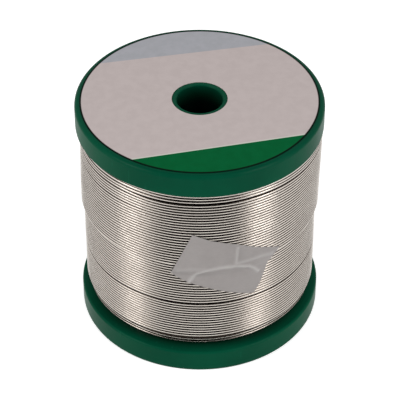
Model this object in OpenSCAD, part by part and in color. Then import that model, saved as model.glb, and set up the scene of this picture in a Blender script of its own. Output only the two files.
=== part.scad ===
// Half-kilo reel of cored solder wire: two moulded flanges on a drum and a spindle tube, the winding,
// its outer turns, the taped wire end and the round paper label.
// The reel stands on its lower flange: Z is the axis, the origin is the middle of the face it stands on,
// and -Y is the side with the tape.

/* [Reel] */
// Height over both flanges
reel_h = 61.4; // [54:0.2:80]
// Diameter of each flange
flange_d = 60; // [54:0.5:72]
// Thickness of each flange at its rim
flange_t = 6.3; // [5:0.1:8]
// Radius of the rounded outer edge of each flange
edge_r = 1; // [0.4:0.1:2]
// Radius of its rounded edge at the winding side
inner_edge_r = 0.6; // [0.2:0.1:1]
// Diameter of the bore for the spindle
bore_d = 11.1; // [8:0.1:14]
// Wall of the spindle tube
tube_wall = 1.1; // [0.8:0.1:1.8]
// Chamfer at each mouth of the bore
mouth_chamfer = 0.3; // [0.1:0.05:0.5]
// Outer diameter of the drum that the wire is wound on
drum_d = 32; // [28:0.5:38]
// Wall of the drum
drum_wall = 2; // [1.2:0.1:2.6]

/* [Flange moulding] */
// Thickness of the web, at the winding side
web_t = 2.5; // [1.6:0.1:3.6]
// Wall of the rim
rim_wall = 2.4; // [1.6:0.1:4]
// Wall of the hub that holds the spindle tube
hub_wall = 2; // [1.2:0.1:2.4]
// Number of radial ribs
rib_count = 12; // [6:1:16]
// Thickness of the ribs and of the ring between them
rib_t = 1.4; // [0.8:0.1:2]
// How far the hub and the collar stand into the drum
collar_h = 4; // [2:0.5:8]
// Wall of the collar inside the drum
collar_wall = 1.6; // [1:0.1:2]
// Lead-in chamfer on the hub and the collar
lead_in = 0.4; // [0.2:0.1:0.5]

/* [Winding] */
// Diameter of the solder wire
wire_d = 0.75; // [0.6:0.05:0.9]
// Diameter of the flux core inside the wire
flux_d = 0.27; // [0.2:0.01:0.35]
// How far the flange edge stands out past the last full layer
rim_show = 1.3; // [1.2:0.1:3]
// Width of the part-full last layer, from the upper flange down
last_layer_w = 22.6; // [16:0.2:30]
// Height over which the winding draws in above the lower flange
shoulder_h = 3.6; // [2.4:0.1:6]
// How far it draws in there
shoulder_drop = 2.6; // [1:0.1:3.2]
// Number of outer turns that are drawn
turns = 24; // [12:1:24]
// Bend of the wire where it turns towards a flange
bend_r = 1; // [0.8:0.1:2]

/* [Label and tape] */
// Thickness of the paper label
label_t = 0.12; // [0.08:0.02:0.3]
// Bare flat left round the label
label_margin = 0.3; // [0.1:0.1:4]
// Length of the tape
tape_l = 22; // [16:0.5:30]
// Width of the tape
tape_w = 12.7; // [9:0.1:16]
// Thickness of the tape
tape_t = 0.15; // [0.1:0.01:0.3]
// Angle of the tape's middle, from -Y towards +X
tape_angle = 11.4; // [0:0.1:30]
// How far the tape is turned from level, falling towards +X
tape_tilt = 23; // [0:1:30]
// Height of the tape's middle above the lower edge of the last layer
tape_rise = 1; // [0:0.1:4]
// Length of the loose wire end under the tape
wire_end_l = 12; // [6:0.5:14]

/* [Hidden] */

$fn = 96;
REEL_GREEN = [0.02, 0.30, 0.21];
SOLDER = [0.72, 0.71, 0.69];

seat_gap = 0.05;     // between pieces that lie on each other
fit_gap = 0.1;       // between the collar and the drum
cut = 1;             // how far a cutter runs past what it cuts
rings = 24;          // rings of the drawn wire in one turn
sides = 6;           // sides of the drawn wire
climb_span = 40;     // angle in which the wire climbs one layer

flange_r = flange_d / 2;
tube_r = bore_d / 2 + tube_wall;
hub_hole_r = tube_r + seat_gap;
hub_r = hub_hole_r + hub_wall;
rim_inner_r = flange_r - rim_wall;
pocket_h = flange_t - web_t;
drum_r = drum_d / 2;
drum_inner_r = drum_r - drum_wall;
collar_r = drum_inner_r - fit_gap;

wound_low = flange_t;
wound_high = reel_h - flange_t;
wire_r = wire_d / 2;
layer_step = wire_d * sqrt(3) / 2;
full_layer_r = flange_r - rim_show;
last_layer_r = full_layer_r + layer_step;

// The drawn wire runs in a helix between the two end bends.
end_rise = seat_gap + wire_d + bend_r;
helix_low = wound_low + end_rise;
helix_high = wound_high - end_rise;
pitch = (helix_high - helix_low) / turns;
// It climbs to the last layer under the tape, half a turn past its start.
climb_turn = round((wound_high - last_layer_w - helix_low) / pitch - 0.5) + 0.5;
climb_z = helix_low + climb_turn * pitch;
step_z = climb_z + wire_r + 3 * seat_gap;
start_angle = tape_angle - 180;

tape_mid_z = climb_z + tape_rise;

// Surface radius of the full layer: it draws in above the lower flange.
function shoulder_in(z) =
    let (t = min(1, max(0, (z - wound_low) / shoulder_h)))
    shoulder_drop * (1 - sin(90 * t));
function full_surface_r(z) = full_layer_r - shoulder_in(z);

// A chord of the drawn wire lies this share nearer the axis than its ends.
chord = cos(180 / rings);
function core_under(centre_r) = centre_r * chord - wire_r - seat_gap;

core_low_r = core_under(full_layer_r - wire_r);
core_high_r = core_under(last_layer_r - wire_r);
core_bore_r = drum_r + seat_gap;

// ---- reel ----

module flange_ribs() {
    rib_l = rim_inner_r - hub_r + rim_wall;
    for (i = [0 : rib_count - 1])
        rotate(360 / rib_count * i)
            translate([hub_r - hub_wall / 2, -rib_t / 2, 0])
                cube([rib_l, rib_t, pocket_h + web_t / 2]);
}

module flange_section() {
    outer_edge = [for (a = [0 : 15 : 90]) [
        flange_r - edge_r + edge_r * sin(a),
        edge_r - edge_r * cos(a)
    ]];
    inner_edge = [for (a = [0 : 15 : 90]) [
        flange_r - inner_edge_r + inner_edge_r * cos(a),
        flange_t - inner_edge_r + inner_edge_r * sin(a)
    ]];
    polygon(concat(
        [
            [hub_hole_r, 0], [hub_r, 0],
            [hub_r, pocket_h], [rim_inner_r, pocket_h],
            [rim_inner_r, 0]
        ],
        outer_edge,
        inner_edge,
        [
            [collar_r, flange_t],
            [collar_r, flange_t + collar_h - lead_in],
            [collar_r - lead_in, flange_t + collar_h],
            [collar_r - collar_wall, flange_t + collar_h],
            [collar_r - collar_wall, flange_t], [hub_r, flange_t],
            [hub_r, flange_t + collar_h - lead_in],
            [hub_r - lead_in, flange_t + collar_h],
            [hub_hole_r, flange_t + collar_h]
        ]
    ));
}

// One moulding serves both ends: its ribbed outer face is at z = 0.
module flange() {
    color(REEL_GREEN) {
        rotate_extrude() flange_section();
        flange_ribs();
        rotate_extrude()
            translate([drum_r - rib_t, 0])
                square([rib_t, pocket_h + web_t / 2]);
    }
}

module lower_flange() {
    flange();
}

module upper_flange() {
    translate([0, 0, reel_h])
        rotate([180, 0, 0])
            flange();
}

module drum() {
    color(REEL_GREEN)
        rotate_extrude()
            translate([drum_inner_r, wound_low])
                square([drum_wall, wound_high - wound_low]);
}

module spindle_tube() {
    bore_r = bore_d / 2;
    color(REEL_GREEN)
        rotate_extrude()
            polygon([
                [bore_r, mouth_chamfer], [bore_r + mouth_chamfer, 0],
                [tube_r, 0], [tube_r, reel_h],
                [bore_r + mouth_chamfer, reel_h], [bore_r, reel_h - mouth_chamfer]
            ]);
}

// ---- winding ----

// The lower layers, as one core that the outer turns lie on.
module inner_winding() {
    shoulder_steps = 8;
    low = wound_low + seat_gap;
    shoulder = [for (i = [0 : shoulder_steps])
        let (z = low + (shoulder_h + wire_r) * i / shoulder_steps)
        [core_under(full_surface_r(z - wire_r) - wire_r), z]
    ];
    color(SOLDER)
        rotate_extrude()
            polygon(concat(
                [[core_bore_r, low]],
                shoulder,
                [
                    [core_low_r, step_z], [core_high_r, step_z],
                    [core_high_r, wound_high - seat_gap],
                    [core_bore_r, wound_high - seat_gap]
                ]
            ));
}

// The wire's middle line, as [angle, z, radius].
function smooth(t) = let (s = min(1, max(0, t))) s * s * (3 - 2 * s);
function wire_centre_r(angle, z) =
    full_surface_r(z) - wire_r
    + layer_step * smooth((angle - 360 * climb_turn) / climb_span + 0.5);
function arc_angle(length, radius) = length / radius * 180 / PI;

start_r = wire_centre_r(0, helix_low);
finish_r = last_layer_r - wire_r;

function bend_up() = [for (a = [0 : 30 : 60]) [
    -arc_angle(bend_r * cos(a), start_r),
    helix_low - bend_r + bend_r * sin(a),
    start_r
]];
function helix_run() = [for (i = [0 : turns * rings])
    let (angle = 360 / rings * i, z = helix_low + pitch * i / rings)
    [angle, z, wire_centre_r(angle, z)]
];
function bend_out() = [for (a = [30 : 30 : 90]) [
    360 * turns + arc_angle(bend_r * sin(a), finish_r),
    helix_high + bend_r * (1 - cos(a)),
    finish_r
]];
function wire_line() = concat(
    [[bend_up()[0][0], wound_low + seat_gap, start_r]],
    bend_up(),
    helix_run(),
    bend_out(),
    [[360 * turns + arc_angle(bend_r, finish_r), wound_high - seat_gap, finish_r]]
);

function place(p) = [
    p[2] * sin(start_angle + p[0]),
    -p[2] * cos(start_angle + p[0]),
    p[1]
];
function unit(v) = v / norm(v);

// A ring of the drawn wire: a corner points away from the axis.
function wire_ring(points, i) =
    let (
        last = len(points) - 1,
        along = unit(points[min(i + 1, last)] - points[max(i - 1, 0)]),
        out = [points[i][0], points[i][1], 0],
        side = unit(out - (out * along) * along),
        across = cross(along, side)
    )
    [for (j = [0 : sides - 1])
        let (a = 360 / sides * j)
        points[i] + wire_r * (cos(a) * side + sin(a) * across)
    ];

function wall_triangles(count) = [
    for (i = [0 : count - 2])
        for (j = [0 : sides - 1])
            for (half = [0, 1])
                let (
                    a = i * sides + j,
                    b = i * sides + (j + 1) % sides
                )
                half == 0 ? [a, a + sides, b + sides] : [a, b + sides, b]
];
function cap_triangles(first, flip) = [
    for (j = [1 : sides - 2])
        flip ? [first, first + j + 1, first + j] : [first, first + j, first + j + 1]
];

// Least distance from each point to the turn that follows it, less the wire's own diameter.
function turn_gap(points) = min([
    for (i = [0 : len(points) - 1])
        for (j = [i + rings / 2 : min(i + rings * 3 / 2, len(points) - 1)])
            norm(points[i] - points[j])
]) - wire_d;

module outer_turns() {
    points = [for (p = wire_line()) place(p)];
    count = len(points);
    vertices = [for (i = [0 : count - 1]) each wire_ring(points, i)];
    echo(turns = turns, pitch = pitch, least_gap = turn_gap(points));
    color(SOLDER)
        polyhedron(
            vertices,
            concat(
                cap_triangles(0, false),
                wall_triangles(count),
                cap_triangles((count - 1) * sides, true)
            )
        );
}

// The loose end lies between two outer turns, under the tape.
module end_arc() {
    arc_r = last_layer_r - wire_r;
    arc = arc_angle(wire_end_l, arc_r);
    translate([0, 0, climb_z + pitch / 2])
        rotate(tape_angle - 90 - arc / 2)
            rotate_extrude(angle = arc)
                translate([arc_r, 0])
                    children();
}

module wire_end() {
    color(SOLDER)
        end_arc()
            difference() {
                circle(d = wire_d, $fn = 32);
                circle(d = flux_d, $fn = 32);
            }
}

module flux_core() {
    flux_gap = 0.01;
    color("goldenrod")
        end_arc() circle(d = flux_d - 2 * flux_gap, $fn = 32);
}

// ---- label and tape ----

module label() {
    label_r = flange_r - edge_r - label_margin;
    color("gainsboro")
        translate([0, 0, reel_h])
            difference() {
                cylinder(r = label_r, h = label_t);
                translate([0, 0, -cut])
                    cylinder(r = tube_r + seat_gap, h = label_t + 2 * cut);
            }
}

// The tape lies on the last layer and comes down over its edge onto the layer below.
module tape_section(out) {
    reach = tape_l + tape_w;
    edge_z = climb_z - wire_r - 3 * seat_gap;
    down_z = edge_z - 2 * wire_d;
    on_last = last_layer_r + seat_gap;
    on_full = full_layer_r + 2 * seat_gap;
    polygon([
        [on_full, down_z - reach], [on_full + out, down_z - reach],
        [on_full + out, down_z], [on_last + out, edge_z],
        [on_last + out, edge_z + reach], [on_last, edge_z + reach],
        [on_last, edge_z], [on_full, down_z]
    ]);
}

module tape() {
    color("darkgray")
        intersection() {
            rotate_extrude() tape_section(tape_t);
            rotate(tape_angle)
                translate([0, 0, tape_mid_z])
                    rotate([90, tape_tilt, 0])
                        translate([-tape_l / 2, -tape_w / 2, 0])
                            cube([tape_l, tape_w, flange_r + cut]);
        }
}

upper_flange();
lower_flange();
drum();
spindle_tube();
inner_winding();
outer_turns();
wire_end();
flux_core();
label();
tape();
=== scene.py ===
"""Reel of cored solder wire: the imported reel, its full winding, the taped wire end, the printed label
and a plain white studio.

Lengths are in metres. The reel's axis is Z, and its tape is on the -Y side."""
import math
import random

import bmesh
import bpy
from mathutils import Matrix, Vector, noise


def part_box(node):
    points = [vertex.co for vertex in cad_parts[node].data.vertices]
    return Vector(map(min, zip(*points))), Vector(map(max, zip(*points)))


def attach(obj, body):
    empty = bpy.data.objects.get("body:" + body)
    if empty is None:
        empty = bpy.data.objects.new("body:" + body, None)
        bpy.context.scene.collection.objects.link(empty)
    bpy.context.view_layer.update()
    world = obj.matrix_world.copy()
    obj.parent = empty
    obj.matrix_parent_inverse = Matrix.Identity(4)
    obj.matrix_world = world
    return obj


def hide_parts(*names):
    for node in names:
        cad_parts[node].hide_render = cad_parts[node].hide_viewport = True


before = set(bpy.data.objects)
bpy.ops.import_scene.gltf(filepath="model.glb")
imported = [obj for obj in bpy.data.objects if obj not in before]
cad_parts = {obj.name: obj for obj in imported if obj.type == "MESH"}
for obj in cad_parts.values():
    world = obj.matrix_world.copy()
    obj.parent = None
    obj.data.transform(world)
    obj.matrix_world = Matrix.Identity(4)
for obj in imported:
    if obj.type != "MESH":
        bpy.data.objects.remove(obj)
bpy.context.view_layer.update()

MM = 0.001

# ---- sizes taken from the reel -------------------------------------------------------------

drum_low, drum_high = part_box("drum")
flange_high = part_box("upper_flange")[1]
label_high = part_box("label")[1]

WOUND_LOW = drum_low.z
WOUND_HIGH = drum_high.z
REEL_H = flange_high.z
FLANGE_R = flange_high.x
LABEL_R = label_high.x
DRUM_R = drum_high.y

# ---- sizes of the winding ------------------------------------------------------------------

WIRE_D = 0.75 * MM
WIRE_R = WIRE_D / 2
RIM_SHOW = 1.3 * MM
LAYER_STEP = WIRE_D * math.sqrt(3) / 2
FULL_LAYER_R = FLANGE_R - RIM_SHOW
LAST_LAYER_R = FULL_LAYER_R + LAYER_STEP
LAYER_TURNS = 63
LEAST_PITCH = WIRE_D * 1.012
SLACK_SPREAD = (0.6, 1.4)
FLAT_TURNS = 3
SHOULDER_H = 3.6 * MM
SHOULDER_DROP = 2.6 * MM
WIRE_RINGS = 144
WIRE_SIDES = 12
WIRE_SEED = 41
LEAN_OUT = 0.4 * MM
LEAN_IN = 0.34 * MM

# Slow unevenness: its size, its spread round the reel and up it, and its two seeds.
WAVE = 0.05 * MM
WAVE_ROUND = 1.3
WAVE_TALL = 6 * MM
WAVE_OUT = 5
WAVE_UP = 0

# The parts of a turn in which the wire tucks under, jumps to leave a gap, and rises from its start.
TUCK_SHARE = 0.06
JUMP_SHARE = 0.08
RISE_SHARE = 0.05

end_low, end_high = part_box("wire_end")
END_Z = (end_low.z + end_high.z) / 2
END_ANGLE = math.asin(end_high.x / LAST_LAYER_R)
END_RISE = 0.78 * MM
LAST_LOW_Z = END_Z + END_RISE
UNDER_TOP_Z = LAST_LOW_Z + 2.5 * WIRE_D
UNDER_START = math.radians(150)

# The groove at the lower flange, which the last two turns of the full layer lie in.
GROOVE_TOP = 9.0 * MM
GROOVE_SLOPE = 1.4 * MM
GROOVE_SLACK = 1.4 * MM

# Where the turns stand apart: the height, the width, and the width on the left side.
UNDER_GAPS = ((21.8 * MM, 0.3 * MM, 0.3 * MM), (10.9 * MM, 2.2 * MM, 2.2 * MM))
LAST_GAPS = ((48.2 * MM, 0.0, 0.14 * MM), (50.9 * MM, 0.0, 0.2 * MM), (52.1 * MM, 0.34 * MM, 0.0))

# The left side starts and is full at these sines of the angle from the front.
LEFT_FROM = 0.35
LEFT_FULL = 0.7

# The turned core: the points on each of its turns and round it, its room to the reel's own pieces, how
# far it lies below the turns, and where it steps out under the last layer.
CORE_ARCS = 5
CORE_SIDES = 128
CORE_CLEAR = 0.05 * MM
CORE_SINK = 0.12 * MM
CORE_STEP_Z = LAST_LOW_Z + 0.6 * WIRE_D


def shoulder_in(z):
    """How far the winding draws in at height z, above the lower flange."""
    share = min(1.0, max(0.0, (z - WOUND_LOW) / SHOULDER_H))
    return SHOULDER_DROP * (1 - math.sin(math.pi / 2 * share))


def smooth(share):
    """An even step from 0 to 1."""
    share = min(1.0, max(0.0, share))
    return share * share * (3 - 2 * share)


# ---- camera --------------------------------------------------------------------------------

CAMERA_DISTANCE = 0.4676
CAMERA_ELEVATION = math.radians(39.254)
CAMERA_AIM = Vector((0, 0, 0.03015))
CAMERA_LENS = 168.76
CAMERA_SENSOR = 36
CAMERA_SHIFT_X = 0.0008


def add_camera():
    """A long lens from the front, looking down on the label."""
    data = bpy.data.cameras.new("camera")
    data.lens = CAMERA_LENS
    data.sensor_width = CAMERA_SENSOR
    data.shift_x = CAMERA_SHIFT_X
    data.clip_start = 0.01
    data.clip_end = 20
    camera = bpy.data.objects.new("camera", data)
    back = Vector((0, -math.cos(CAMERA_ELEVATION), math.sin(CAMERA_ELEVATION)))
    camera.location = CAMERA_AIM + CAMERA_DISTANCE * back
    camera.rotation_euler = (math.pi / 2 - CAMERA_ELEVATION, 0, 0)
    bpy.context.scene.collection.objects.link(camera)
    bpy.context.scene.camera = camera


add_camera()

# ---- node helpers --------------------------------------------------------------------------


class Nodes:
    """Adds nodes to a material, a world or a group."""

    def __init__(self, tree):
        self.tree = tree

    def feed(self, socket, value):
        """Links a node's input to a socket, or sets a value on it."""
        if isinstance(value, bpy.types.NodeSocket):
            self.tree.links.new(value, socket)
        else:
            socket.default_value = value

    def add(self, kind, inputs=None, **settings):
        """A node of that kind, with its settings and its inputs as values or sockets."""
        node = self.tree.nodes.new(kind)
        for name, value in settings.items():
            setattr(node, name, value)
        for name, value in (inputs or {}).items():
            self.feed(node.inputs[name], value)
        return node

    def math(self, operation, first, second=0.0, clamp=False):
        """The result of a Math node."""
        node = self.add("ShaderNodeMath", operation=operation, use_clamp=clamp)
        for index, value in enumerate((first, second)):
            self.feed(node.inputs[index], value)
        return node.outputs[0]

    def remap(self, value, low, high, to_low=0.0, to_high=1.0, smooth_step=False):
        """A value taken from one range to another."""
        node = self.add(
            "ShaderNodeMapRange",
            {"Value": value, "From Min": low, "From Max": high, "To Min": to_low, "To Max": to_high},
            interpolation_type="SMOOTHSTEP" if smooth_step else "LINEAR",
        )
        return node.outputs[0]

    def mix(self, share, first, second):
        """A mix of two colours."""
        node = self.add("ShaderNodeMix", data_type="RGBA")
        for index, value in ((0, share), (6, first), (7, second)):
            self.feed(node.inputs[index], value)
        return node.outputs[2]

    def place(self):
        """The object's own coordinates."""
        return self.add("ShaderNodeTexCoord").outputs["Object"]


def rgb(red, green, blue):
    """A colour given as it shows on a screen, from 0 to 255."""
    linear = [
        c / 255 / 12.92 if c / 255 <= 0.04045 else ((c / 255 + 0.055) / 1.055) ** 2.4
        for c in (red, green, blue)
    ]
    return (*linear, 1.0)


def new_material(name):
    """A material with an empty node tree and its shader: returns both and the node helper."""
    material = bpy.data.materials.new(name)
    material.use_nodes = True
    tree = material.node_tree
    tree.nodes.clear()
    nodes = Nodes(tree)
    shader = nodes.add("ShaderNodeBsdfPrincipled")
    output = nodes.add("ShaderNodeOutputMaterial")
    tree.links.new(shader.outputs[0], output.inputs["Surface"])
    return material, nodes, shader


def new_group(name, inputs, outputs):
    """A shader node group with float, vector or colour sockets: returns it and its ends."""
    tree = bpy.data.node_groups.new(name, "ShaderNodeTree")
    for socket_name, kind, value in inputs:
        socket = tree.interface.new_socket(socket_name, in_out="INPUT", socket_type=kind)
        if value is not None:
            socket.default_value = value
    for socket_name, kind in outputs:
        tree.interface.new_socket(socket_name, in_out="OUTPUT", socket_type=kind)
    nodes = Nodes(tree)
    start = nodes.add("NodeGroupInput")
    end = nodes.add("NodeGroupOutput")
    return tree, nodes, start.outputs, end.inputs


def use_group(nodes, group, inputs):
    """The group placed in a material: returns its outputs."""
    return nodes.add("ShaderNodeGroup", inputs, node_tree=group).outputs


FLOAT = "NodeSocketFloat"
VECTOR = "NodeSocketVector"
COLOR = "NodeSocketColor"


def mottle_group():
    """Soft patches between two colours, with a matching mask."""
    group, nodes, start, end = new_group(
        "mottle",
        [
            ("Place", VECTOR, None),
            ("Scale", FLOAT, 100.0),
            ("Colour A", COLOR, (0, 0, 0, 1)),
            ("Colour B", COLOR, (1, 1, 1, 1)),
        ],
        [("Colour", COLOR), ("Mask", FLOAT)],
    )
    patches = nodes.add(
        "ShaderNodeTexNoise",
        {"Vector": start["Place"], "Scale": start["Scale"], "Detail": 4.0, "Roughness": 0.6},
    )
    mask = nodes.remap(patches.outputs[0], 0.3, 0.7, smooth_step=True)
    nodes.tree.links.new(mask, end["Mask"])
    nodes.tree.links.new(nodes.mix(mask, start["Colour A"], start["Colour B"]), end["Colour"])
    return group


def grain_group():
    """Fine surface grain as a height, from 0 to 1."""
    group, nodes, start, end = new_group(
        "surface_grain",
        [("Place", VECTOR, None), ("Scale", FLOAT, 1000.0), ("Coarse", FLOAT, 0.5)],
        [("Height", FLOAT)],
    )
    fine = nodes.add(
        "ShaderNodeTexNoise",
        {"Vector": start["Place"], "Scale": start["Scale"], "Detail": 2.0},
    )
    coarse_scale = nodes.math("MULTIPLY", start["Scale"], 0.12)
    coarse = nodes.add(
        "ShaderNodeTexNoise",
        {"Vector": start["Place"], "Scale": coarse_scale, "Detail": 2.0},
    )
    weighted = nodes.math("MULTIPLY", coarse.outputs[0], start["Coarse"])
    nodes.tree.links.new(nodes.math("ADD", fine.outputs[0], weighted), end["Height"])
    return group


def scuff_group():
    """Thin handling marks and specks of dust, as a mask."""
    group, nodes, start, end = new_group(
        "scuffs",
        [("Place", VECTOR, None), ("Scale", FLOAT, 300.0), ("Amount", FLOAT, 0.5)],
        [("Mask", FLOAT)],
    )
    stretched = nodes.add(
        "ShaderNodeMapping",
        {"Vector": start["Place"], "Scale": (1.0, 1.0, 0.08), "Rotation": (0.9, 0.3, 0.5)},
    )
    line_scale = nodes.math("MULTIPLY", start["Scale"], 6.0)
    lines = nodes.add(
        "ShaderNodeTexNoise",
        {"Vector": stretched.outputs[0], "Scale": line_scale, "Detail": 1.0},
    )
    thin = nodes.remap(lines.outputs[0], 0.66, 0.72)
    where = nodes.add(
        "ShaderNodeTexNoise", {"Vector": start["Place"], "Scale": start["Scale"], "Detail": 1.0}
    )
    patch = nodes.remap(where.outputs[0], 0.5, 0.65)
    marks = nodes.math("MULTIPLY", thin, patch)
    nodes.tree.links.new(nodes.math("MULTIPLY", marks, start["Amount"], clamp=True), end["Mask"])
    return group


MOTTLE = mottle_group()
GRAIN = grain_group()
SCUFFS = scuff_group()


def bump(nodes, height, distance):
    """A Bump node's normal, for a height from 0 to 1 that is distance metres deep."""
    node = nodes.add("ShaderNodeBump", {"Height": height, "Distance": distance, "Strength": 1.0})
    return node.outputs[0]


# ---- materials -----------------------------------------------------------------------------

# Depths of the surface grain.
PLASTIC_GRAIN = 0.000012
WIRE_LINES = 0.0000015
PAPER_GRAIN = 0.000014
TAPE_GRAIN = 0.00001

# Painted shade darkens the flanges on their faces beside the winding: in full up to the inner radius,
# not at all past the outer one, and fading between these depths under the face.
SHADE_INNER_R = 26.2 * MM
SHADE_OUTER_R = 28.9 * MM
FACE_FROM = 0.5 * MM
FACE_FULL = 0.1 * MM
# Painted shade darkens the bore between these depths below its ends.
BORE_FROM = 0.1 * MM
BORE_FULL = 5 * MM


def reel_green(name, painted_shade_inside):
    """Smooth green moulding plastic, softly glossy, with faint handling marks.

    It is darkened with painted shade on its faces beside the winding. With its last argument true,
    painted shade deepens with its depth below both ends of the reel instead, for the inside of the
    tube."""
    material, nodes, shader = new_material(name)
    links = nodes.tree.links
    place = nodes.place()
    patches = use_group(nodes, MOTTLE, {
        "Place": place, "Scale": 60.0,
        "Colour A": rgb(2, 65, 45), "Colour B": rgb(3, 71, 49),
    })
    marks = use_group(nodes, SCUFFS, {"Place": place, "Scale": 180.0, "Amount": 0.35})["Mask"]
    grain = use_group(nodes, GRAIN, {"Place": place, "Scale": 2600.0, "Coarse": 1.2})["Height"]
    colour = nodes.mix(marks, patches["Colour"], rgb(22, 96, 72))
    height = nodes.add("ShaderNodeSeparateXYZ", {"Vector": place}).outputs["Z"]
    from_end = nodes.math("MINIMUM", nodes.math("SUBTRACT", REEL_H, height), height)
    if painted_shade_inside:
        # Painted shade inside the tube, deeper below its ends.
        depth = nodes.remap(from_end, BORE_FROM, BORE_FULL)
        colour = nodes.mix(nodes.math("POWER", depth, 0.3), colour, rgb(1, 14, 8))
    else:
        # Painted shade on the faces beside the winding, where the winding shades them.
        radius = nodes.math("SQRT", squared_radius(nodes, place))
        beside = nodes.math("SUBTRACT", 1.0, nodes.remap(radius, SHADE_INNER_R, SHADE_OUTER_R))
        facing = nodes.remap(from_end, WOUND_LOW - FACE_FROM, WOUND_LOW - FACE_FULL)
        colour = nodes.mix(nodes.math("MULTIPLY", beside, facing), colour, rgb(0, 22, 11))
    links.new(colour, shader.inputs["Base Color"])
    rough = nodes.remap(patches["Mask"], 0.0, 1.0, 0.3, 0.38)
    links.new(nodes.math("ADD", rough, nodes.math("MULTIPLY", marks, 0.3)), shader.inputs["Roughness"])
    links.new(bump(nodes, grain, PLASTIC_GRAIN), shader.inputs["Normal"])
    shader.inputs["Specular IOR Level"].default_value = 0.03
    return material


def squared_radius(nodes, place):
    """Squared distance from the reel's axis."""
    flat = nodes.add("ShaderNodeSeparateXYZ", {"Vector": place}).outputs
    x_squared = nodes.math("MULTIPLY", flat["X"], flat["X"])
    return nodes.math("ADD", x_squared, nodes.math("MULTIPLY", flat["Y"], flat["Y"]))


# Lines along the wire: their scale round the reel, where they are long, and across.
LINES_ROUND = 40.0
LINES_ACROSS = 14000.0


def round_the_reel(nodes, place):
    """Coordinates in which a noise draws into lines that run round the reel, with the wire."""
    flat = nodes.add("ShaderNodeSeparateXYZ", {"Vector": place}).outputs
    radius = nodes.math("SQRT", squared_radius(nodes, place))
    turned = {
        "X": nodes.math("MULTIPLY", nodes.math("ARCTAN2", flat["Y"], flat["X"]), LINES_ROUND),
        "Y": nodes.math("MULTIPLY", radius, LINES_ACROSS),
        "Z": nodes.math("MULTIPLY", flat["Z"], LINES_ACROSS),
    }
    return nodes.add("ShaderNodeCombineXYZ", turned).outputs[0]


# Painted shade between the turns gives way to the wire's own colour between these shares of its radius,
# outwards from its middle.
CREST_FROM = 0.72
CREST_FULL = 0.98


def drawn_solder(name, bright, dull, root, rough):
    """Drawn tin alloy: bright and dull patches on the crest of each turn, with painted shade dark
    between the turns.

    A mesh without the crest attribute has that painted shade all over."""
    material, nodes, shader = new_material(name)
    links = nodes.tree.links
    place = nodes.place()
    patches = use_group(nodes, MOTTLE, {
        "Place": place, "Scale": 260.0, "Colour A": dull, "Colour B": bright,
    })
    crest = nodes.add("ShaderNodeAttribute", attribute_name="crest").outputs["Fac"]
    # Painted shade: the root colour darkens the wire between its turns.
    depth = nodes.remap(crest, CREST_FROM, CREST_FULL, smooth_step=True)
    links.new(nodes.mix(depth, root, patches["Colour"]), shader.inputs["Base Color"])
    level = nodes.remap(patches["Mask"], 0.0, 1.0, rough + 0.07, rough)
    links.new(level, shader.inputs["Roughness"])
    lines = use_group(nodes, GRAIN, {
        "Place": round_the_reel(nodes, place), "Scale": 1.0, "Coarse": 0.8,
    })
    links.new(bump(nodes, lines["Height"], WIRE_LINES), shader.inputs["Normal"])
    shader.inputs["Metallic"].default_value = 1.0
    return material


def flux_amber():
    """Rosin flux."""
    material, nodes, shader = new_material("flux_amber")
    patches = use_group(nodes, MOTTLE, {
        "Place": nodes.place(), "Scale": 3000.0,
        "Colour A": rgb(190, 138, 48), "Colour B": rgb(214, 164, 74),
    })
    nodes.tree.links.new(patches["Colour"], shader.inputs["Base Color"])
    shader.inputs["Roughness"].default_value = 0.35
    return material


# Each band of the label's print: its turn from the reel's X, and its edge's distance from the middle.
GREEN_BAND = (math.radians(13.2), -19.6 * MM)
BLUE_BAND = (math.radians(11.4), 19.0 * MM)
BAND_LINE = 0.35 * MM
PRINT_EDGE = 0.06 * MM
# Painted shade at the label's edge starts and is full at these distances from its rim.
EDGE_SHADE_FROM = 0.46 * MM
EDGE_SHADE_FULL = 0.3 * MM


def past_line(nodes, place, turn, distance, side):
    """A mask of the label past a straight line: above it for side 1, below it for side -1."""
    turned = nodes.add("ShaderNodeMapping", {"Vector": place, "Rotation": (0, 0, -turn)})
    height = nodes.add("ShaderNodeSeparateXYZ", {"Vector": turned.outputs[0]}).outputs["Y"]
    return nodes.remap(height, distance - side * PRINT_EDGE, distance + side * PRINT_EDGE)


def label_paper():
    """Matt label paper with a green band, a pale blue band and painted shade round its edge."""
    material, nodes, shader = new_material("label_paper")
    links = nodes.tree.links
    place = nodes.place()
    inks = {
        "paper": (rgb(193, 181, 179), rgb(198, 186, 184)),
        "blue": (rgb(167, 168, 173), rgb(173, 173, 179)),
        "green": (rgb(2, 88, 46), rgb(3, 93, 50)),
    }
    print_on = {
        name: use_group(nodes, MOTTLE, {
            "Place": place, "Scale": 420.0, "Colour A": low_ink, "Colour B": high_ink,
        })["Colour"]
        for name, (low_ink, high_ink) in inks.items()
    }
    turn, edge = GREEN_BAND
    in_line = past_line(nodes, place, turn, edge + BAND_LINE, -1)
    in_green = past_line(nodes, place, turn, edge, -1)
    in_blue = past_line(nodes, place, *BLUE_BAND, 1)
    colour = nodes.mix(in_blue, print_on["paper"], print_on["blue"])
    colour = nodes.mix(in_line, colour, rgb(206, 208, 198))
    colour = nodes.mix(in_green, colour, print_on["green"])
    radius = nodes.math("SQRT", squared_radius(nodes, place))
    # Painted shade: a dark ring round the label's edge.
    rim = nodes.remap(radius, LABEL_R - EDGE_SHADE_FROM, LABEL_R - EDGE_SHADE_FULL)
    links.new(nodes.mix(rim, colour, rgb(3, 18, 10)), shader.inputs["Base Color"])
    grain = use_group(nodes, GRAIN, {"Place": place, "Scale": 3500.0, "Coarse": 1.0})["Height"]
    links.new(bump(nodes, grain, PAPER_GRAIN), shader.inputs["Normal"])
    shader.inputs["Roughness"].default_value = 0.62
    shader.inputs["Specular IOR Level"].default_value = 0.03
    return material


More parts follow.
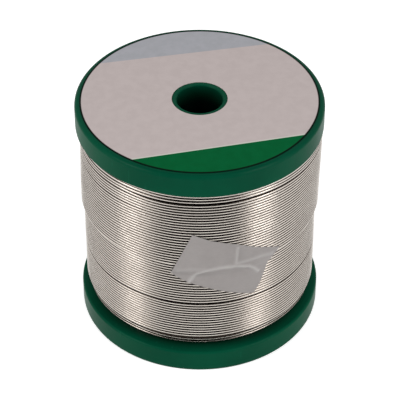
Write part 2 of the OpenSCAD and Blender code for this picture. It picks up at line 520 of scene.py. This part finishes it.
def tape_matte():
    """Matt tape film, with a painted highlight along its folds."""
    material, nodes, shader = new_material("tape_matte")
    links = nodes.tree.links
    place = nodes.place()
    haze = use_group(nodes, MOTTLE, {
        "Place": place, "Scale": 240.0,
        "Colour A": rgb(140, 135, 133), "Colour B": rgb(145, 140, 138),
    })
    # Painted highlight: the folds are painted whiter.
    creased = nodes.add("ShaderNodeAttribute", attribute_name="fold").outputs["Fac"]
    white = nodes.math("MULTIPLY", creased, 0.45)
    links.new(nodes.mix(white, haze["Colour"], rgb(186, 183, 181)), shader.inputs["Base Color"])
    grain = use_group(nodes, GRAIN, {"Place": place, "Scale": 2800.0, "Coarse": 1.0})["Height"]
    links.new(bump(nodes, grain, TAPE_GRAIN), shader.inputs["Normal"])
    shader.inputs["Roughness"].default_value = 0.48
    shader.inputs["Specular IOR Level"].default_value = 0.35
    return material


REEL_GREEN = reel_green("reel_green", False)
BORE_GREEN = reel_green("bore_green", True)
# The third colour is painted shade, dark between the turns.
SOLDER = drawn_solder(
    "drawn_solder", rgb(206, 199, 191), rgb(195, 188, 180), rgb(84, 75, 68), 0.22
)
# The lower layers are painted all over with the same dark shade as the wire between its turns.
PAINTED_DEEP_SHADE = rgb(44, 37, 32)
SOLDER_DEEP = drawn_solder("buried_solder", PAINTED_DEEP_SHADE, PAINTED_DEEP_SHADE, PAINTED_DEEP_SHADE, 0.4)
FLUX = flux_amber()
LABEL = label_paper()
TAPE = tape_matte()


def paint(obj, material):
    """Gives an object one material."""
    obj.data.materials.clear()
    obj.data.materials.append(material)


def linked_object(bm, name):
    """An object at the origin made from the bmesh."""
    mesh = bpy.data.meshes.new(name)
    bm.to_mesh(mesh)
    bm.free()
    obj = bpy.data.objects.new(name, mesh)
    bpy.context.scene.collection.objects.link(obj)
    return obj


# ---- the winding ---------------------------------------------------------------------------


def finished_mesh(bm, name, material, body="root"):
    """A smooth object made from the bmesh, riding on the reel."""
    obj = linked_object(bm, name)
    for face in obj.data.polygons:
        face.use_smooth = True
    paint(obj, material)
    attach(obj, body)
    return obj


def turn_heights(first, last, seed):
    """Heights of the turns from first to last: they touch, but for slack shared out unevenly."""
    drawn = random.Random(seed)
    count = int(abs(last - first) / LEAST_PITCH)
    way = 1 if last > first else -1
    slack = abs(last - first) - count * WIRE_D
    shares = [drawn.uniform(*SLACK_SPREAD) for _ in range(count)]
    heights = [first]
    for share in shares:
        heights.append(heights[-1] + way * (WIRE_D + slack * share / sum(shares)))
    return heights


def jumps(heights, gaps, back_share):
    """Where the wire jumps to leave each gap: at the back, in the turn nearest to its height.

    Each place comes with the gap's width and with what the left side adds to it."""
    places = []
    for height, width, left_width in gaps:
        nearest = min(range(len(heights)), key=lambda i: abs(heights[i] - height))
        places.append((nearest + back_share, width, left_width - width))
    return places


def on_left(angle):
    """From 0 on the reel's front to 1 on its left side."""
    return smooth((-math.sin(angle) - LEFT_FROM) / (LEFT_FULL - LEFT_FROM))


def one_turn():
    """A tube of wire spun once round the winding: the mesh that each turn starts from."""
    bm = bmesh.new()
    across = Matrix.Translation((LAST_LAYER_R, 0, 0)) @ Matrix.Rotation(math.pi / 2, 4, "X")
    bmesh.ops.create_circle(bm, segments=WIRE_SIDES, radius=WIRE_R, matrix=across)
    bmesh.ops.spin(
        bm, geom=bm.verts[:] + bm.edges[:], cent=(0, 0, 0), axis=(0, 0, 1),
        dvec=(0, 0, WIRE_D / WIRE_RINGS), angle=2 * math.pi, steps=WIRE_RINGS,
    )
    mesh = bpy.data.meshes.new("one_turn")
    bm.to_mesh(mesh)
    bm.free()
    return mesh


def wave(angle, z, seed):
    """Slow unevenness of the winding, shared by turns that lie side by side."""
    x, y = math.cos(angle) * WAVE_ROUND, math.sin(angle) * WAVE_ROUND
    return WAVE * noise.noise((x, y + seed, z / WAVE_TALL))


def lean(angle, z):
    """How far the winding stands out on its +X side, and in on its -X side, towards the top."""
    share = smooth((z - END_Z) / (WOUND_HIGH - END_Z))
    side = math.sin(angle)
    return share * (LEAN_OUT * max(0.0, side) ** 2 - LEAN_IN * max(0.0, -side) ** 2)


def in_groove(z):
    """How far height z is down in the groove of the last two turns, from 0 to 1."""
    return smooth((GROOVE_TOP - z) / GROOVE_SLOPE)


def stand_out(angle, z):
    """How far the turns in the groove stand out at the reel's sides."""
    return GROOVE_SLACK * math.sin(angle) ** 4 * in_groove(z)


def wound_wire(name, first, last, gaps, start_angle, surface_r, tucked_start, start_rise=0.0):
    """One unbroken wire that winds from one height to the other, on a surface of that radius.

    gaps lists (height, width, width on the left side) of the places where the turns stand apart,
    and both widths add up to the same over the whole winding. The last turns lie flat along the
    flange, with a step at the back, where the wire stops and sinks into the layer below. A tucked
    start sinks too. The wire starts lower than its first turn by start_rise."""
    way = 1 if last > first else -1
    last_unshifted = last - way * sum(width for _, width, _ in gaps)
    heights = turn_heights(first + start_rise, last_unshifted, WIRE_SEED)
    turns = len(heights)
    heights.append(heights[-1])
    back_share = (math.pi - start_angle) / (2 * math.pi)
    apart = jumps(heights, gaps, back_share)
    bm = bmesh.new()
    for turn in range(turns):
        bm.from_mesh(ONE_TURN)
    crest = bm.verts.layers.float.new("crest")
    turn_verts = (WIRE_RINGS + 1) * WIRE_SIDES
    length = turns - 1 + back_share
    beyond = []
    for index, vert in enumerate(bm.verts):
        turn = index // turn_verts
        share = index % turn_verts // WIRE_SIDES / WIRE_RINGS
        along = turn + share
        if along > length:
            beyond.append(vert)
        out = math.hypot(vert.co.x, vert.co.y) - LAST_LAYER_R
        up = vert.co.z - WIRE_D * share
        angle = start_angle + 2 * math.pi * share
        rise = smooth((share - back_share) / JUMP_SHARE) if turn >= turns - FLAT_TURNS else share
        z = heights[turn] + (heights[turn + 1] - heights[turn]) * rise
        left = on_left(angle)
        for place, width, more_at_left in apart:
            gap = width + more_at_left * left
            z += way * gap * smooth((along - place) / JUMP_SHARE)
        z -= start_rise * (1 - smooth(along / RISE_SHARE))
        r = surface_r(z) - WIRE_R + out + wave(angle, z, WAVE_OUT) + lean(angle, z)
        r += stand_out(angle, z)
        z += up + wave(angle, z, WAVE_UP) * smooth((WOUND_HIGH - z) / MM) * smooth((z - WOUND_LOW) / MM)
        sink = 1 - smooth((length - along) / TUCK_SHARE)
        if tucked_start:
            sink += 1 - smooth(along / TUCK_SHARE)
        r -= sink * WIRE_D
        vert[crest] = out / WIRE_R
        vert.co = (r * math.sin(angle), -r * math.cos(angle), z)
    bmesh.ops.delete(bm, geom=beyond, context="VERTS")
    bmesh.ops.remove_doubles(bm, verts=bm.verts[:], dist=0.001 * MM)
    bmesh.ops.holes_fill(bm, edges=[e for e in bm.edges if e.is_boundary])
    bmesh.ops.recalc_face_normals(bm, faces=bm.faces[:])
    return finished_mesh(bm, name, SOLDER)


ONE_TURN = one_turn()


def full_surface_r(z):
    """Surface radius of the full layer, whose last two turns lie in a groove at the flange."""
    drop = shoulder_in(z)
    return FULL_LAYER_R - drop - in_groove(z) * (shoulder_in(WOUND_LOW + WIRE_R) - drop)


def last_surface_r(z):
    """Surface radius of the part-full last layer."""
    return LAST_LAYER_R


def make_turns():
    """The full layer below, and the last layer, which runs on into the taped end."""
    under_turns = wound_wire(
        "under_turns", UNDER_TOP_Z, WOUND_LOW + WIRE_R,
        UNDER_GAPS, UNDER_START, full_surface_r, True,
    )
    last_turns = wound_wire(
        "last_turns", END_Z, WOUND_HIGH - WIRE_R,
        LAST_GAPS, END_ANGLE, last_surface_r, False, END_RISE,
    )
    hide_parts("outer_turns")
    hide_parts("outer_turns")


def make_core():
    """The lower layers: a turned core with a groove between its turns."""
    bm = bmesh.new()
    pitch = (WOUND_HIGH - WOUND_LOW) / LAYER_TURNS
    inner_r = DRUM_R + CORE_CLEAR
    low_z, high_z = WOUND_LOW + CORE_CLEAR, WOUND_HIGH - CORE_CLEAR
    points = [(inner_r, low_z)]
    for turn in range(LAYER_TURNS):
        for i in range(CORE_ARCS):
            share = (i + 0.5) / CORE_ARCS
            z = min(max(WOUND_LOW + pitch * (turn + share), low_z), high_z)
            surface = full_surface_r(z) if z < CORE_STEP_Z else LAST_LAYER_R
            sunk = WIRE_R * (1 - math.sin(math.pi * share))
            points.append((surface - LAYER_STEP - CORE_SINK - sunk, z))
    points.append((inner_r, high_z))
    verts = [bm.verts.new((r, 0, z)) for r, z in points]
    for a, b in zip(verts, verts[1:] + verts[:1]):
        bm.edges.new((a, b))
    bmesh.ops.spin(
        bm, geom=bm.verts[:] + bm.edges[:], cent=(0, 0, 0), axis=(0, 0, 1),
        angle=2 * math.pi, steps=CORE_SIDES, use_merge=True,
    )
    bmesh.ops.remove_doubles(bm, verts=bm.verts[:], dist=1e-7)
    bmesh.ops.recalc_face_normals(bm, faces=bm.faces[:])
    core = finished_mesh(bm, "lower_layers", SOLDER_DEEP)
    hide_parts("inner_winding")


# ---- the tape ------------------------------------------------------------------------------

# The tape's four edges, as millimetres round the winding from -Y and millimetres up.
TAPE_TOP = ((-1.7, 43.6), (2.4, 41.8), (8.7, 39.7), (11.1, 38.6), (15.7, 36.5), (20.8, 34.2))
TAPE_RIGHT = ((20.8, 34.2), (18.7, 32.4), (17.6, 30.6), (16.7, 28.1), (15.5, 24.9), (13.7, 22.2))
TAPE_BOTTOM = ((-7.1, 30.8), (-5.3, 29.5), (-1.7, 27.8), (2.4, 26.3), (6.1, 24.9), (13.7, 22.2))
TAPE_LEFT = ((-1.7, 43.6), (-3.9, 38.4), (-5.8, 33.9), (-7.1, 30.8))
TAPE_T = 0.06 * MM
TAPE_LONG = 110
TAPE_WIDE = 66
TAPE_LIFT = 0.09 * MM
# The dip over the last layer's step: how far below the wire's end it starts, and over how many
# millimetres it runs.
TAPE_DIP_FROM = 0.2
TAPE_DIP_OVER = 2.2
# Soft creases, and ripples over the turns with their pitch in millimetres.
TAPE_CREASE = 0.035 * MM
TAPE_CREASE_SCALE = 0.45
TAPE_CREASE_SEED = 3.0
TAPE_RIPPLE = 0.012 * MM
TAPE_RIPPLE_PITCH = 0.768
# Folds in the tape: how far they stand up, their width, and their line in the same millimetres.
TAPE_FOLDS = (
    (0.34, 0.5, (
        (-2.5, 28.6), (-1.7, 30.1), (-0.6, 31.6), (1.3, 32.6), (4.6, 33.2),
        (8.8, 33.1), (11.8, 32.0), (13.6, 30.3), (14.6, 29.1),
    )),
    (0.3, 0.32, ((9.0, 38.6), (8.7, 34.3))),
    (0.22, 0.5, ((8.7, 33.9), (11.7, 33.9), (14.8, 34.1), (18.1, 33.5))),
    (0.12, 0.6, ((-5.2, 32.2), (-2.2, 33.0), (1.3, 33.0))),
)


def along_line(line, share):
    """The point at that share of the way along a line of straight pieces."""
    corners = [Vector(corner) for corner in line]
    lengths = [(b - a).length for a, b in zip(corners, corners[1:])]
    left = share * sum(lengths)
    for start, end, length in zip(corners, corners[1:], lengths):
        if left <= length:
            return start.lerp(end, left / length)
        left -= length
    return corners[-1]


def line_distance(point, line):
    """Distance from a point to a line of straight pieces."""
    best = 1e9
    for a, b in zip(line, line[1:]):
        start, along = Vector(a), Vector(b) - Vector(a)
        share = min(1.0, max(0.0, (point - start).dot(along) / along.length_squared))
        best = min(best, (point - start - along * share).length)
    return best


def tape_point(across, down):
    """Where a point of the tape lies, round and up in millimetres: its four edges blended."""
    level = along_line(TAPE_TOP, across).lerp(along_line(TAPE_BOTTOM, across), down)
    upright = along_line(TAPE_LEFT, down).lerp(along_line(TAPE_RIGHT, down), across)
    top = Vector(TAPE_TOP[0]).lerp(Vector(TAPE_TOP[-1]), across)
    bottom = Vector(TAPE_BOTTOM[0]).lerp(Vector(TAPE_BOTTOM[-1]), across)
    return level + upright - top.lerp(bottom, down)


def make_tape():
    """Tape pressed over the wire's end: it dips between the turns and has a few small folds."""
    bm = bmesh.new()
    bmesh.ops.create_grid(bm, x_segments=TAPE_LONG, y_segments=TAPE_WIDE, size=0.5)
    fold = bm.verts.layers.float.new("fold")
    edge_z = END_Z / MM - TAPE_DIP_FROM
    for vert in bm.verts:
        flat = tape_point(vert.co.x + 0.5, 0.5 - vert.co.y)
        drop = smooth((edge_z - flat.y) / TAPE_DIP_OVER)
        radius = LAST_LAYER_R - LAYER_STEP * drop + TAPE_LIFT
        for height, width, line in TAPE_FOLDS:
            rise = math.exp(-((line_distance(flat, line) / width) ** 2))
            radius += height * MM * rise
            vert[fold] = max(vert[fold], rise * height / TAPE_FOLDS[0][0])
        crease_at = (flat.x * TAPE_CREASE_SCALE, flat.y * TAPE_CREASE_SCALE, TAPE_CREASE_SEED)
        radius += TAPE_CREASE * noise.noise(crease_at)
        radius += TAPE_RIPPLE * math.sin(2 * math.pi * flat.y / TAPE_RIPPLE_PITCH)
        angle = flat.x * MM / LAST_LAYER_R
        vert.co = (radius * math.sin(angle), -radius * math.cos(angle), flat.y * MM)
    bmesh.ops.recalc_face_normals(bm, faces=bm.faces[:])
    facing = bm.faces[:][0]
    if facing.normal.dot(facing.calc_center_median() * Vector((1, 1, 0))) < 0:
        bmesh.ops.reverse_faces(bm, faces=bm.faces[:])
    bmesh.ops.solidify(bm, geom=bm.faces[:], thickness=TAPE_T)
    bmesh.ops.recalc_face_normals(bm, faces=bm.faces[:])
    tape = finished_mesh(bm, "taped_end", TAPE)
    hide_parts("tape")


make_turns()
make_core()
make_tape()

for node in ("upper_flange", "lower_flange", "drum"):
    paint(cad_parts[node], REEL_GREEN)
paint(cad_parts["spindle_tube"], BORE_GREEN)
paint(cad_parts["wire_end"], SOLDER)
paint(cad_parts["flux_core"], FLUX)
paint(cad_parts["label"], LABEL)

# ---- studio --------------------------------------------------------------------------------

FLOOR_SIZE = 6.0
SOFTBOX_ANGLES = (math.radians(-62), math.radians(54))
SOFTBOX_DISTANCE = 0.62
SOFTBOX_HEIGHT = 0.36
SOFTBOX_SIZE = (0.24, 0.5)
SOFTBOX_POWER = 3.05
WORLD_FILL = 0.34
FLOOR_GLOW = 0.57
HOOD_WIDTH = 1.3
HOOD_FRONT = -0.75
HOOD_BACK = 0.3
HOOD_TOP = 1.0
HOOD_LOW = 0.002
HOOD_NEAR = -0.17
HOOD_NEAR_WIDTH = 0.2


def seen_or_reflected(nodes):
    """1 for what the camera, reflections and clear pieces see, 0 for what only lights the scene."""
    path = nodes.add("ShaderNodeLightPath").outputs
    seen = nodes.math("MAXIMUM", path["Is Camera Ray"], path["Is Glossy Ray"])
    return nodes.math("MAXIMUM", seen, path["Is Transmission Ray"])


def add_floor():
    """A white floor that keeps the reel's shadow and shows white to the camera."""
    bm = bmesh.new()
    bmesh.ops.create_grid(bm, x_segments=1, y_segments=1, size=FLOOR_SIZE / 2)
    floor = linked_object(bm, "floor")
    material, nodes, shader = new_material("floor_white")
    glow = nodes.math("MULTIPLY", seen_or_reflected(nodes), FLOOR_GLOW)
    shader.inputs["Base Color"].default_value = (0.86, 0.86, 0.86, 1)
    shader.inputs["Roughness"].default_value = 0.9
    shader.inputs["Specular IOR Level"].default_value = 0.0
    shader.inputs["Emission Color"].default_value = (1, 1, 1, 1)
    nodes.tree.links.new(glow, shader.inputs["Emission Strength"])
    paint(floor, material)


def add_world():
    """An even white surround, and a softer level of it as light."""
    world = bpy.data.worlds.new("studio")
    world.use_nodes = True
    tree = world.node_tree
    tree.nodes.clear()
    nodes = Nodes(tree)
    level = nodes.remap(seen_or_reflected(nodes), 0.0, 1.0, WORLD_FILL, 1.0)
    back = nodes.add("ShaderNodeBackground", {"Color": (1, 1, 1, 1), "Strength": level})
    out = nodes.add("ShaderNodeOutputWorld")
    tree.links.new(back.outputs[0], out.inputs["Surface"])
    bpy.context.scene.world = world


def add_dark_hood():
    """A dark sheet overhead and in front, and on the floor up to the reel: only reflections see it."""
    bm = bmesh.new()
    bmesh.ops.create_grid(bm, x_segments=1, y_segments=1, size=0.5)
    bmesh.ops.scale(bm, vec=(HOOD_WIDTH, HOOD_BACK - HOOD_FRONT, 1), verts=bm.verts[:])
    middle = (0, (HOOD_BACK + HOOD_FRONT) / 2, HOOD_TOP)
    bmesh.ops.translate(bm, vec=middle, verts=bm.verts[:])
    front = [e for e in bm.edges if all(v.co.y < HOOD_FRONT + MM for v in e.verts)]
    dropped = bmesh.ops.extrude_edge_only(bm, edges=front)["geom"]
    corners = [v for v in dropped if isinstance(v, bmesh.types.BMVert)]
    bmesh.ops.translate(bm, vec=(0, 0, HOOD_LOW - HOOD_TOP), verts=corners)
    bottom = [e for e in bm.edges if all(v.co.z < HOOD_LOW + MM for v in e.verts)]
    laid = bmesh.ops.extrude_edge_only(bm, edges=bottom)["geom"]
    corners = [v for v in laid if isinstance(v, bmesh.types.BMVert)]
    bmesh.ops.translate(bm, vec=(0, HOOD_NEAR - HOOD_FRONT, 0), verts=corners)
    bmesh.ops.scale(bm, vec=(HOOD_NEAR_WIDTH / HOOD_WIDTH, 1, 1), verts=corners)
    hood = linked_object(bm, "dark_hood")
    material, _, shader = new_material("hood_black")
    shader.inputs["Base Color"].default_value = (0.015, 0.015, 0.015, 1)
    shader.inputs["Roughness"].default_value = 1.0
    shader.inputs["Specular IOR Level"].default_value = 0.0
    paint(hood, material)
    hood.visible_camera = False
    hood.visible_diffuse = False
    hood.visible_transmission = False
    hood.visible_shadow = False


def add_softbox(name, place, size, power):
    """A soft rectangular lamp that faces the reel."""
    data = bpy.data.lights.new(name, "AREA")
    data.shape = "RECTANGLE"
    data.size, data.size_y = size
    data.energy = power
    lamp = bpy.data.objects.new(name, data)
    lamp.location = place
    aim = CAMERA_AIM - Vector(place)
    lamp.rotation_euler = aim.to_track_quat("-Z", "Y").to_euler()
    bpy.context.scene.collection.objects.link(lamp)


def add_lamps():
    """Softboxes left and right."""
    for name, angle in zip(("softbox_left", "softbox_right"), SOFTBOX_ANGLES):
        x = SOFTBOX_DISTANCE * math.sin(angle)
        y = -SOFTBOX_DISTANCE * math.cos(angle)
        add_softbox(name, (x, y, SOFTBOX_HEIGHT), SOFTBOX_SIZE, SOFTBOX_POWER)


add_floor()
add_world()
add_dark_hood()
add_lamps()
bpy.context.scene.view_settings.view_transform = "Standard"
